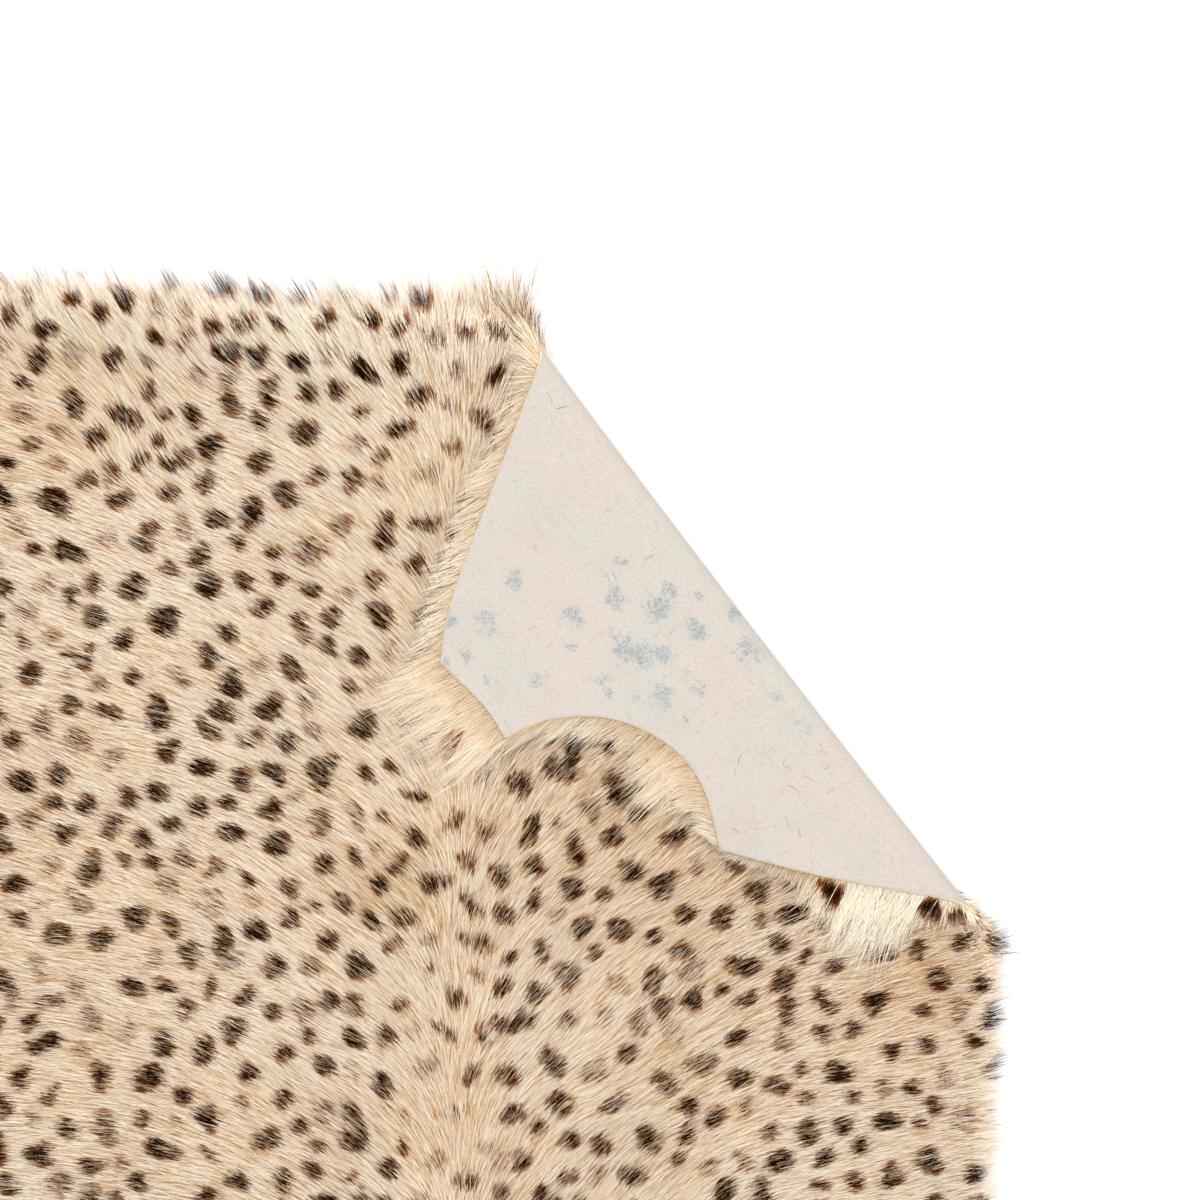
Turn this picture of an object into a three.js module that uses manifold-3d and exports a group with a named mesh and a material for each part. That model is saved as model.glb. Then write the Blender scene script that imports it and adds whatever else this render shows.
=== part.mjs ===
// A hair-on goatskin rug, lying hair side up, with its right hind corner turned
// back over the hair so that the bare flesh side of that corner shows.
// The whole hide is one solid: a lumpy slab of leather and lying hair, with locks
// of longer hair along its rim. Millimetres, +Z up, +Y towards the rump.

import * as THREE from 'three';
import { mergeVertices } from 'three/addons/utils/BufferGeometryUtils.js';
import Module from 'manifold-3d';

// The trimmed edge of the hide, laid flat and seen from the hair side.
// half: distance from the spine, back: distance from the rump towards the neck,
// corner: the edge turns sharply there, and runs on in a curve elsewhere.
const RUMP_Y = 445;
const LEFT_SHARE = 0.99;
const NECK = { half: 0, back: 901, corner: false };
const RUMP = [
  { half: 0, back: 3, corner: false }, // tail
  { half: 120, back: -6, corner: false },
  { half: 210, back: -14, corner: false },
];
const EDGE = [
  { half: 247, back: -11, corner: true }, // heel of the hind leg
  { half: 263, back: 18, corner: false },
  { half: 277, back: 34, corner: true }, // cut end of the hind leg
  { half: 262, back: 52, corner: false }, // notch between leg and flank
  { half: 252, back: 84, corner: false },
  { half: 257, back: 118, corner: false },
  { half: 274, back: 142, corner: false },
  { half: 305, back: 160, corner: true }, // flank
  { half: 305, back: 218, corner: false },
  { half: 299, back: 310, corner: false },
  { half: 295, back: 420, corner: false },
  { half: 292, back: 520, corner: false },
  { half: 298, back: 612, corner: false },
  { half: 317, back: 678, corner: true }, // fore leg
  { half: 302, back: 724, corner: true }, // cut end of the fore leg
  { half: 275, back: 742, corner: false }, // notch between leg and neck
  { half: 252, back: 768, corner: false },
  { half: 232, back: 801, corner: false },
  { half: 208, back: 834, corner: false },
  { half: 176, back: 892, corner: true }, // corner of the neck
];

// The turned-back corner: its rounded outer edge, seen from above, runs between
// two places on the rim and is a little hollow in the middle.
const FOLD_AT_RUMP = { half: 58, back: 2 };
const FOLD_AT_FLANK = { half: 300, back: 317 };
const FOLD_HOLLOW = 1.5;
const FOLD_RADIUS = 12;
const FLAP_SAG = 1.5;
const FLAP_SAG_RUN = 140;

// Leather and lying hair together
const PILE = 9.5;
const PILE_AT_RIM = 6;
const RIM_ROUNDING = 30;
const LUMP = 1.2;
const LUMP_ACROSS = 97;
const LUMP_ALONG = 131;
const LUMP_WANDER = { across: 195, along: 122 };

// Locks of hair along the rim
const LOCK_PITCH = 13.5;
const LOCK_WIDTH = 8.5;
const LOCK_ROOT = 5;
const LOCK_REACH = 22;
const LOCK_REACH_SPREAD = 3.5;
const LOCK_LEAN = 0.16;
const LOCK_UNEVEN = { quick: 2.4, slow: 0.7, lean: 1.7 };
const LOCK_TIP_RISE = 1.2;
const LOCK_DROP_UNDER_FLAP = { root: 1.5, tip: 5.5 };

// Steps of the surface
const CELL = 28;
const BEND_STEPS = 8;
const RIM_STEP = 24;
const SLIVER_AREA = 0.01;
const LOCK_SIDES = 3;
const LOCK_STATIONS = [
  { along: 0, width: 1, height: 0.8 },
  { along: 0.55, width: 0.8, height: 0.6 },
];

const BEND_LENGTH = Math.PI * FOLD_RADIUS;
const foldStart = onHide(FOLD_AT_RUMP);
const foldAlong = onHide(FOLD_AT_FLANK).sub(foldStart);
const foldLength = foldAlong.length();
foldAlong.normalize();
const foldOut = new THREE.Vector2(-foldAlong.y, foldAlong.x);
foldStart.addScaledVector(foldOut, -FOLD_RADIUS);

function onHide({ half, back }) {
  return new THREE.Vector2(half, RUMP_Y - back);
}

// How far the fold line is hollowed at a distance along it
function hollow(along) {
  const fromMiddle = THREE.MathUtils.clamp((2 * along) / foldLength - 1, -1, 1);
  return FOLD_HOLLOW * (1 - fromMiddle ** 2);
}

// Place on the hide as x: distance along the fold line, y: distance past it
function toFold(point) {
  const from = point.clone().sub(foldStart);
  const along = from.dot(foldAlong);
  return new THREE.Vector2(along, from.dot(foldOut) + hollow(along));
}

// The folded place of a point at a depth above the flesh side
function folded(place, depth) {
  const past = place.y;
  let reach = past;
  let height = depth;
  if (past > BEND_LENGTH) {
    const onFlap = past - BEND_LENGTH;
    reach = -onFlap;
    height = 2 * FOLD_RADIUS - depth - FLAP_SAG * THREE.MathUtils.smoothstep(onFlap, 0, FLAP_SAG_RUN);
  } else if (past > 0) {
    const turn = past / FOLD_RADIUS;
    reach = (FOLD_RADIUS - depth) * Math.sin(turn);
    height = FOLD_RADIUS - (FOLD_RADIUS - depth) * Math.cos(turn);
  }
  const flat = foldStart
    .clone()
    .addScaledVector(foldAlong, place.x)
    .addScaledVector(foldOut, reach - hollow(place.x));
  return new THREE.Vector3(flat.x, flat.y, height);
}

// The rim as a ring of points, anticlockwise, with its corners kept
function rimPoints() {
  const placed = (rows, share) => rows.map(({ half, back, corner }) => ({
    point: onHide({ half: share * half, back }),
    corner,
  }));
  const ring = [
    ...placed(EDGE, -LEFT_SHARE),
    ...placed([NECK], 1),
    ...placed(EDGE, 1).reverse(),
    ...placed(RUMP, 1).reverse(),
    ...placed(RUMP.slice(1), -LEFT_SHARE),
  ];
  const rim = [];
  let stretch = [ring[0].point];
  for (const { point, corner } of [...ring.slice(1), ring[0]]) {
    stretch.push(point);
    if (!corner) continue;
    const curve = new THREE.SplineCurve(stretch);
    const steps = Math.ceil(curve.getLength() / RIM_STEP);
    rim.push(...curve.getSpacedPoints(steps).slice(0, -1));
    stretch = [point];
  }
  return rim;
}

function distanceToRim(point, rim) {
  const nearest = new THREE.Vector3();
  const from = new THREE.Vector3(point.x, point.y, 0);
  const line = new THREE.Line3();
  return rim.reduce((least, start, i) => {
    const end = rim[(i + 1) % rim.length];
    line.set(new THREE.Vector3(start.x, start.y, 0), new THREE.Vector3(end.x, end.y, 0));
    line.closestPointToPoint(from, true, nearest);
    return Math.min(least, nearest.distanceTo(from));
  }, Infinity);
}

// Height of the lying hair: lumpy, and thinner towards the rim
function pileHeight(place, rim) {
  const turn = 2 * Math.PI;
  const across = Math.sin((turn * place.y) / LUMP_ACROSS + Math.sin((turn * place.x) / LUMP_WANDER.across));
  const along = Math.sin((turn * place.x) / LUMP_ALONG + Math.sin((turn * place.y) / LUMP_WANDER.along));
  const full = PILE + (LUMP * (across + along)) / 2;
  const inside = THREE.MathUtils.smoothstep(distanceToRim(place, rim), 0, RIM_ROUNDING);
  return THREE.MathUtils.lerp(PILE_AT_RIM, full, inside);
}

// The part of a polygon on the positive side of a line
function clipped(polygon, side) {
  const kept = [];
  polygon.forEach((point, i) => {
    const next = polygon[(i + 1) % polygon.length];
    const here = side(point);
    const there = side(next);
    if (here >= 0) kept.push(point);
    if (here * there < 0) kept.push(point.clone().lerp(next, here / (here - there)));
  });
  return kept;
}

function evenLines(from, to) {
  const steps = Math.max(1, Math.ceil(Math.abs(to - from) / CELL));
  return Array.from({ length: steps + 1 }, (_, i) => THREE.MathUtils.lerp(from, to, i / steps));
}

// The hide cut into cells that follow the fold, as shared points and triangles
function cellMesh(rim) {
  const box = new THREE.Box2().setFromPoints(rim);
  const bend = Array.from({ length: BEND_STEPS + 1 }, (_, i) => (BEND_LENGTH * i) / BEND_STEPS);
  const across = [...evenLines(box.min.y, 0), ...bend.slice(1, -1), ...evenLines(BEND_LENGTH, box.max.y)];
  const along = evenLines(box.min.x, box.max.x);
  const points = [];
  const triangles = [];
  const known = new Map();
  const indexOf = (point) => {
    const key = `${point.x.toFixed(3)} ${point.y.toFixed(3)}`;
    if (!known.has(key)) known.set(key, points.push(point) - 1);
    return known.get(key);
  };
  for (let column = 0; column + 1 < across.length; column += 1) {
    const strip = clipped(
      clipped(rim, (point) => point.y - across[column]),
      (point) => across[column + 1] - point.y,
    );
    for (let row = 0; row + 1 < along.length; row += 1) {
      const cell = clipped(
        clipped(strip, (point) => point.x - along[row]),
        (point) => along[row + 1] - point.x,
      );
      const corners = [...new Set(cell.map(indexOf))];
      if (corners.length < 3) continue;
      const contour = corners.map((corner) => points[corner]);
      for (const face of THREE.ShapeUtils.triangulateShape(contour, [])) {
        const [a, b, c] = face.map((corner) => corners[corner]);
        const area = THREE.ShapeUtils.area([points[a], points[b], points[c]]);
        if (Math.abs(area) > SLIVER_AREA) triangles.push(area > 0 ? [a, b, c] : [a, c, b]);
      }
    }
  }
  return { points, triangles };
}

// Edges that belong to one triangle only
function openEdges(triangles) {
  const edges = triangles.flatMap(([a, b, c]) => [[a, b], [b, c], [c, a]]);
  const all = new Set(edges.map(([a, b]) => `${a} ${b}`));
  return edges.filter(([a, b]) => !all.has(`${b} ${a}`));
}

// Flesh side, hair side and rim wall as one closed surface
function slabGeometry(rim) {
  const { points, triangles } = cellMesh(rim);
  const flesh = points.map((place) => folded(place, 0));
  const hair = points.map((place) => folded(place, pileHeight(place, rim)));
  const above = points.length;
  const faces = triangles.flatMap(([a, b, c]) => [
    [a, c, b],
    [a + above, b + above, c + above],
  ]);
  for (const [a, b] of openEdges(triangles)) {
    faces.push([a, b, b + above], [a, b + above, a + above]);
  }
  const geometry = new THREE.BufferGeometry().setFromPoints([...flesh, ...hair]);
  return geometry.setIndex(faces.flat());
}

// One tapering three-sided lock. On the floor its flat side lies level on it, and
// on the turned-back corner it hangs a little below the flesh side.
function lockGeometry(root, outward, reach, lean) {
  const heading = outward.clone().rotateAround(new THREE.Vector2(), lean);
  const aside = new THREE.Vector2(-heading.y, heading.x);
  const start = root.clone().addScaledVector(outward, -LOCK_ROOT);
  const turned = THREE.MathUtils.clamp(toFold(root).y / BEND_LENGTH, 0, 1);
  const at = (along, sideways, depth) => {
    const flat = start.clone().addScaledVector(heading, along * (LOCK_ROOT + reach));
    const { root: near, tip: far } = LOCK_DROP_UNDER_FLAP;
    const drop = turned * THREE.MathUtils.lerp(near, far, along);
    return folded(toFold(flat.addScaledVector(aside, sideways)), depth + drop);
  };
  const points = LOCK_STATIONS.flatMap(({ along, width, height }) => [
    at(along, (-width * LOCK_WIDTH) / 2, 0),
    at(along, (width * LOCK_WIDTH) / 2, 0),
    at(along, 0, height * PILE_AT_RIM),
  ]);
  points.push(at(1, 0, LOCK_TIP_RISE));
  const tip = points.length - 1;
  const faces = [[0, 2, 1]];
  for (let i = 0; i < LOCK_SIDES; i += 1) {
    const j = (i + 1) % LOCK_SIDES;
    const [above, beside] = [i + LOCK_SIDES, j + LOCK_SIDES];
    faces.push([i, j, above], [j, beside, above], [above, beside, tip]);
  }
  return new THREE.BufferGeometry().setFromPoints(points).setIndex(faces.flat());
}

// Locks at an even pitch round the rim, each with its own length and lean
function lockGeometries(rim) {
  const ring = new THREE.CurvePath();
  rim.forEach((point, i) => ring.add(new THREE.LineCurve(point, rim[(i + 1) % rim.length])));
  const count = Math.floor(ring.getLength() / LOCK_PITCH);
  return Array.from({ length: count }, (_, i) => {
    const share = (i + 0.5) / count;
    const tangent = ring.getTangentAt(share);
    const outward = new THREE.Vector2(tangent.y, -tangent.x);
    const longer = Math.sin(LOCK_UNEVEN.quick * i) * Math.cos(LOCK_UNEVEN.slow * i);
    const lean = LOCK_LEAN * Math.sin(LOCK_UNEVEN.lean * i);
    return lockGeometry(ring.getPointAt(share), outward, LOCK_REACH + LOCK_REACH_SPREAD * longer, lean);
  });
}

const wasm = await Module();
wasm.setup();

function toSolid(geometry) {
  const merged = mergeVertices(geometry);
  return new wasm.Manifold(new wasm.Mesh({
    numProp: 3,
    vertProperties: merged.attributes.position.array,
    triVerts: Uint32Array.from(merged.index.array),
  }));
}

function toGeometry(solid) {
  const { vertProperties, triVerts } = solid.getMesh();
  const geometry = new THREE.BufferGeometry();
  geometry.setAttribute('position', new THREE.BufferAttribute(vertProperties, 3));
  geometry.setIndex(new THREE.BufferAttribute(triVerts, 1));
  geometry.computeVertexNormals();
  return geometry;
}

function goatskin() {
  const rim = rimPoints();
  const slab = toSolid(slabGeometry(rim.map(toFold)));
  const locks = lockGeometries(rim).map(toSolid);
  const hide = locks.reduce((joined, lock) => joined.add(lock), slab);
  const material = new THREE.MeshStandardMaterial({ color: 0xe6d3b4, roughness: 0.9, metalness: 0 });
  const mesh = new THREE.Mesh(toGeometry(hide), material);
  mesh.name = 'goatskin';
  return mesh;
}

const rug = new THREE.Group();
rug.add(goatskin());

export default rug;
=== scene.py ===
"""A hair-on goatskin rug, hair side up, with its right hind corner turned back.

The hide is a thin leather sheet that follows the fold. Its hair is laid strand by strand:
each one is rooted on the hide, lies along the flow of the coat, follows the fold with the
leather, and takes its dye from the printed spots that it lies across.
Metres, +Z up, +Y towards the rump.
"""

import math
from collections import namedtuple

import bpy
import numpy as np
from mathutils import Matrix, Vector
from mathutils.geometry import delaunay_2d_cdt


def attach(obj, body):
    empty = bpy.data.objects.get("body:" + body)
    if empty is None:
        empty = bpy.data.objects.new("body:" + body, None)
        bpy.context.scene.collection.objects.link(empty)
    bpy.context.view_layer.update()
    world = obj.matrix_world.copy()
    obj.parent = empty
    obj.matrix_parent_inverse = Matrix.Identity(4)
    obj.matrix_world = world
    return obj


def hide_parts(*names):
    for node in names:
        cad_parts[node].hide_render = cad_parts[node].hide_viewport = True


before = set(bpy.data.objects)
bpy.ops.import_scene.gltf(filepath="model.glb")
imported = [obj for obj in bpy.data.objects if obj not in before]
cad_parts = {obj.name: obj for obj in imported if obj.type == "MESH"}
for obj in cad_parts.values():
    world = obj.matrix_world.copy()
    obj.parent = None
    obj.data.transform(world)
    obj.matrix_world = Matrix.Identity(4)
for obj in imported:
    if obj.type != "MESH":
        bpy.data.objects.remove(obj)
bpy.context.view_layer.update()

# The trimmed edge of the hide, laid flat and seen from the hair side.
# half: distance from the spine, back: distance from the rump towards the neck,
# corner: the edge turns sharply there, and runs on in a curve elsewhere.
Edge = namedtuple("Edge", "half back corner")
RUMP_Y = 0.445
LEFT_SHARE = 0.99
NECK = Edge(0.0, 0.901, False)
RUMP = [
    Edge(0.0, 0.003, False),  # tail
    Edge(0.120, -0.006, False),
    Edge(0.210, -0.014, False),
]
EDGE = [
    Edge(0.247, -0.011, True),  # heel of the hind leg
    Edge(0.263, 0.018, False),
    Edge(0.277, 0.034, True),  # cut end of the hind leg
    Edge(0.262, 0.052, False),  # notch between leg and flank
    Edge(0.252, 0.084, False),
    Edge(0.257, 0.118, False),
    Edge(0.274, 0.142, False),
    Edge(0.305, 0.160, True),  # flank
    Edge(0.305, 0.218, False),
    Edge(0.299, 0.310, False),
    Edge(0.295, 0.420, False),
    Edge(0.292, 0.520, False),
    Edge(0.298, 0.612, False),
    Edge(0.317, 0.678, True),  # fore leg
    Edge(0.302, 0.724, True),  # cut end of the fore leg
    Edge(0.275, 0.742, False),  # notch between leg and neck
    Edge(0.252, 0.768, False),
    Edge(0.232, 0.801, False),
    Edge(0.208, 0.834, False),
    Edge(0.176, 0.892, True),  # corner of the neck
]

# The turned-back corner
FOLD_AT_RUMP = (0.058, 0.002)
FOLD_AT_FLANK = (0.300, 0.317)
FOLD_HOLLOW = 0.0015
FOLD_RADIUS = 0.012
FLAP_SAG = 0.0015
FLAP_SAG_RUN = 0.140
FLAP_RIPPLE = 0.0005
BEND_LENGTH = math.pi * FOLD_RADIUS

# Leather
LEATHER = 0.0015
EDGE_BEVEL = 0.0006
RIM_STEP = 0.004
SKIN_STEP = 0.0075
FLAP_STEP = 0.0019

# Coat
PILE = 0.0075
PILE_LUMP = 0.0008
PILE_SPREAD = 0.0006
HAIR_LENGTH = 0.0140
HAIR_WIDTH = 0.00038
HAIR_COUNT = 205000
HAIR_STRAY = 0.095
MOST_HAIR = 7.0
RIM_HAIR = 0.8
RUMP_HAIR = 3.6
FLAP_HAIR = 6.0
COAT_PIECES = ["hair_neck", "hair_withers", "hair_back", "hair_rump"]
FLAP_HAIR_REST = 0.0125
FLOOR_HAIR_REST = 0.0009

# Fringe: how much longer the hair is at the rim, and by how much or what share the flap's differs
FRINGE_BAND = 0.017
RIM_BAND = 0.012
RIM_LONGER = 0.0035
RUMP_LONGER = (0.016, 0.034)
RUMP_LONGER_FROM = -0.20
RUMP_LONGER_RUN = 0.24
FLAP_RUMP_LONGER = 0.0195
BELLY_BACK = 0.263
BELLY_SPAN = 0.040
BELLY_LONGER = 0.036
BELLY_THINNER = 0.4
BELLY_LOOSER = 1.2
NOTCH_BACK = 0.137
NOTCH_SPAN = 0.022
NOTCH_LONGER = 0.022
CUT_END_LONGER = 0.018
FLANK_SHORTER = 0.013
NOTCH_END_CUT = 0.6
RUMP_SIDE_CUT = (0.34, 0.40)
LENGTH_SPREAD = 0.16
RUMP_SIDE_SPREAD = 0.28
FOLD_END_REACH = 1.0
FOLD_END_SPREAD = 0.22
FOLD_END_LIMIT = 0.061
FOLD_END_ARCH = 0.0035

# Lie of the hair
PARTING_X = 0.014
PARTING_WIDTH = 0.050
FLOW_LEFT = 1.60
FLOW_RIGHT = 1.24
FLOW_FAR_LEFT = 0.75
FLOW_RIM_BAND = 0.014
RIM_PULL = 0.22
FLANK_PULL = 1.9
FLAP_RUMP_TURN = 0.25
NOTCH_TURN = 0.95
SWAY = 0.09
TOUSLE = 0.05
RIM_TOUSLE = 0.10

# Shade of the hair, from 0, pale, to 1, tan
COAT_TONE = 0.36
FLAP_TONE = 0.22
TONE_SPREAD = 0.30
FLAP_TONE_SPREAD = 0.06
SMOKY_RIM = 0.06
SMOKY_FLAP = 0.08

# Printed spots
SPOT_GAP_ALONG = 0.0190
SPOT_GAP_ACROSS = 0.0172
SPOT_RADIUS = 0.0063
SPOT_LONG = 1.22
SPOT_MARGIN = 0.03
SPOT_TRIALS = 90000
PARTING_BAND = 0.026
FADED_SHARE = 0.31
FADED_STRENGTH = (0.40, 0.72)
FULL_STRENGTH = (0.92, 1.06)
DYE_FRAY = 0.0021
DYE_FROM_ROOT = 0.12
PRINT_PITCH = 0.001
PRINT_SAMPLES = 17

SEED = 11


def on_hide(half, back):
    return np.array([half, RUMP_Y - back])


fold_start = on_hide(*FOLD_AT_RUMP)
fold_along = on_hide(*FOLD_AT_FLANK) - fold_start
fold_length = np.linalg.norm(fold_along)
fold_along = fold_along / fold_length
fold_out = np.array([-fold_along[1], fold_along[0]])
fold_start = fold_start - FOLD_RADIUS * fold_out


def smooth(value, low, high):
    share = np.clip((np.asarray(value) - low) / (high - low), 0.0, 1.0)
    return share * share * (3.0 - 2.0 * share)


def mixed(low, high, share):
    return low + (high - low) * share


# Fold


def hollow(along):
    from_middle = np.clip(2.0 * along / fold_length - 1.0, -1.0, 1.0)
    return FOLD_HOLLOW * (1.0 - from_middle**2)


def to_fold(points):
    """Distances along and past the fold line of points on the flat hide."""
    offset = points - fold_start
    along = offset @ fold_along
    return along, offset @ fold_out + hollow(along)


def turned_share(points):
    """0 where the hide lies flat, 1 on the turned-back corner."""
    return np.clip(to_fold(points)[1] / BEND_LENGTH, 0.0, 1.0)


def folded(points, depth):
    """Where points of the flat hide lie, at a depth above its flesh side."""
    along, past = to_fold(points)
    depth = np.broadcast_to(depth, past.shape)
    turn = np.clip(past / FOLD_RADIUS, 0.0, math.pi)
    on_flap = np.maximum(past - BEND_LENGTH, 0.0)
    bent = past > 0.0
    reach = np.where(bent, (FOLD_RADIUS - depth) * np.sin(turn) - on_flap, past)
    height = np.where(bent, FOLD_RADIUS - (FOLD_RADIUS - depth) * np.cos(turn), depth)
    height = height - FLAP_SAG * smooth(on_flap, 0.0, FLAP_SAG_RUN)
    flat = fold_start + np.outer(along, fold_along) + np.outer(reach - hollow(along), fold_out)
    return np.column_stack([flat, height])


# Rim


def curve_through(points, step):
    """Points on a smooth curve through the given ones, without its last end."""
    padded = [points[0], *points, points[-1]]
    run = []
    for before, start, end, after in zip(padded, padded[1:], padded[2:], padded[3:]):
        count = max(1, math.ceil(np.linalg.norm(end - start) / step))
        t = np.arange(count)[:, None] / count
        leave, arrive = (end - before) / 2.0, (after - start) / 2.0
        run.append(
            start
            + leave * t
            + (3.0 * (end - start) - 2.0 * leave - arrive) * t**2
            + (2.0 * (start - end) + leave + arrive) * t**3
        )
    return np.concatenate(run)


def rim_points(step):
    """The edge of the flat hide as a ring, anticlockwise, with its corners kept."""

    def placed(rows, share):
        return [(on_hide(share * row.half, row.back), row.corner) for row in rows]

    ring = placed(EDGE, -LEFT_SHARE) + placed([NECK], 1.0) + placed(reversed(EDGE), 1.0)
    ring = ring + placed(reversed(RUMP), 1.0) + placed(RUMP[1:], -LEFT_SHARE)
    stretch = [ring[0][0]]
    rim = []
    for point, corner in ring[1:] + ring[:1]:
        stretch.append(point)
        if corner:
            rim.append(curve_through(stretch, step))
            stretch = [point]
    return np.concatenate(rim)


def signed_distance(points, ring):
    """Distance to a ring, positive inside it."""
    starts = ring
    ends = np.roll(ring, -1, axis=0)
    sides = ends - starts
    squares = (sides**2).sum(axis=1)
    result = np.empty(len(points))
    for chunk in np.array_split(np.arange(len(points)), max(1, len(points) // 2000)):
        offset = points[chunk, None, :] - starts[None]
        share = np.clip((offset * sides).sum(axis=2) / squares, 0.0, 1.0)
        gap = offset - share[..., None] * sides
        nearest = np.sqrt((gap**2).sum(axis=2).min(axis=1))
        x, y = points[chunk, 0, None], points[chunk, 1, None]
        spans = (starts[:, 1] > y) != (ends[:, 1] > y)
        rise = np.where(sides[:, 1] == 0, 1e-12, sides[:, 1])
        crossing = starts[:, 0] + sides[:, 0] * (y - starts[:, 1]) / rise
        inside = (spans & (crossing > x)).sum(axis=1) % 2 == 1
        result[chunk] = np.where(inside, nearest, -nearest)
    return result


class Chart:
    """Values on an even grid over the flat hide, read anywhere between its points."""

    def __init__(self, pitch, margin=0.06):
        low, high = rim.min(axis=0) - margin, rim.max(axis=0) + margin
        self.low, self.pitch = low, pitch
        self.shape = tuple(np.ceil((high - low) / pitch).astype(int) + 1)
        grid = np.meshgrid(*(np.arange(n) for n in self.shape), indexing="ij")
        self.points = np.stack([g.ravel() for g in grid], axis=1) * pitch + low
        self.values = np.zeros(self.shape)

    def read(self, points):
        place = (points - self.low) / self.pitch
        place = np.clip(place, 0.0, np.array(self.shape) - 1.001)
        cell = place.astype(int)
        i, j = cell.T
        u, v = (place - cell).T
        near = mixed(self.values[i, j], self.values[i + 1, j], u)
        far = mixed(self.values[i, j + 1], self.values[i + 1, j + 1], u)
        return mixed(near, far, v)


rim = rim_points(RIM_STEP)
rim_chart = Chart(0.004)
rim_chart.values = signed_distance(rim_chart.points, rim[::3]).reshape(rim_chart.shape)


def inside_by(points):
    return rim_chart.read(points)


def outward(points):
    """Unit directions away from the middle of the hide, square to its rim."""
    step = 0.004
    slope_x = inside_by(points + [step, 0.0]) - inside_by(points - [step, 0.0])
    slope_y = inside_by(points + [0.0, step]) - inside_by(points - [0.0, step])
    return unit(-np.column_stack([slope_x, slope_y]))


def unit(vectors):
    return vectors / np.maximum(np.linalg.norm(vectors, axis=1, keepdims=True), 1e-9)


def rotated(vectors, angle):
    cosine, sine = np.cos(angle), np.sin(angle)
    return np.column_stack([
        vectors[:, 0] * cosine - vectors[:, 1] * sine,
        vectors[:, 0] * sine + vectors[:, 1] * cosine,
    ])


def soft_patches(points, size, seed):
    """Smooth uneven values from about -1 to 1 that change over the given size."""
    rng = np.random.default_rng(seed)
    waves = 7
    angle = rng.uniform(0.0, 2.0 * math.pi, waves)
    count = rng.uniform(0.6, 1.4, waves) * 2.0 * math.pi / size
    phase = rng.uniform(0.0, 2.0 * math.pi, waves)
    along = np.outer(points[:, 0], np.cos(angle)) + np.outer(points[:, 1], np.sin(angle))
    return np.sin(along * count + phase).sum(axis=1) / math.sqrt(waves)


# A soft round patch of something on the rug, seen from above, with its place in metres
Patch = namedtuple("Patch", "across up size strength")


def round_patch(places, patch):
    """1 in the middle of a patch, fading to 0 outside it."""
    gap = np.hypot(places[:, 0] - patch.across, places[:, 1] - patch.up) / patch.size
    return np.exp(-(gap**2))


# Coat

# Where the lie of the hair turns aside, by an angle
COWLICKS = [
    Patch(-0.158, 0.393, 0.024, 0.65),
    Patch(-0.223, 0.395, 0.030, -0.35),
    Patch(-0.104, 0.407, 0.030, -0.36),
]


def flow(points):
    """Unit directions in which the hair lies on the flat hide."""
    x = points[:, 0] - PARTING_X
    back = RUMP_Y - points[:, 1]
    on_flap = turned_share(points)
    left = x < 0.0
    behind = mixed(np.where(left, 0.55, 0.75), 1.0, smooth(back, -0.02, 0.10))
    spread = np.where(left, FLOW_LEFT, FLOW_RIGHT) * behind
    spread = spread + FLOW_FAR_LEFT * smooth(-x, 0.08, 0.17) * smooth(back, 0.05, 0.12)
    sideways = spread * np.tanh(x / PARTING_WIDTH)
    to_rump = 1.0 - 0.65 * smooth(back, 0.26, 0.36) * smooth(np.abs(points[:, 0]), 0.11, 0.23)
    to_rump = to_rump * (1.0 - smooth(back, 0.62, 0.80)) - 1.5 * smooth(back, 0.76, 0.90)
    heading = unit(np.column_stack([sideways, to_rump]))
    near_rim = np.exp(-np.maximum(inside_by(points), 0.0) / FLOW_RIM_BAND)
    on_flank = on_flap * smooth(back, 0.14, 0.19)
    pull = near_rim * (RIM_PULL * (1.0 - on_flap) + FLANK_PULL * on_flank)
    heading = unit(heading + pull[:, None] * outward(points))
    turn = sum(row.strength * round_patch(points, row) for row in COWLICKS)
    flap_rump = (1.0 - smooth(points[:, 0], 0.10, 0.17)) * (1.0 - smooth(back, 0.02, 0.05))
    turn = turn + FLAP_RUMP_TURN * flap_rump * smooth(on_flap, 0.6, 1.0)
    into_notch = smooth(back, 0.112, 0.162) * (1.0 - smooth(back, 0.160, 0.172))
    turn = turn - NOTCH_TURN * into_notch * on_flap
    sway = SWAY * soft_patches(points, 0.07, SEED + 1)
    sway = sway + (TOUSLE + RIM_TOUSLE * near_rim) * soft_patches(points, 0.013, SEED + 4)
    return rotated(heading, sway - turn)


Spots = namedtuple("Spots", "centre heading long wide strength wobble")


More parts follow.
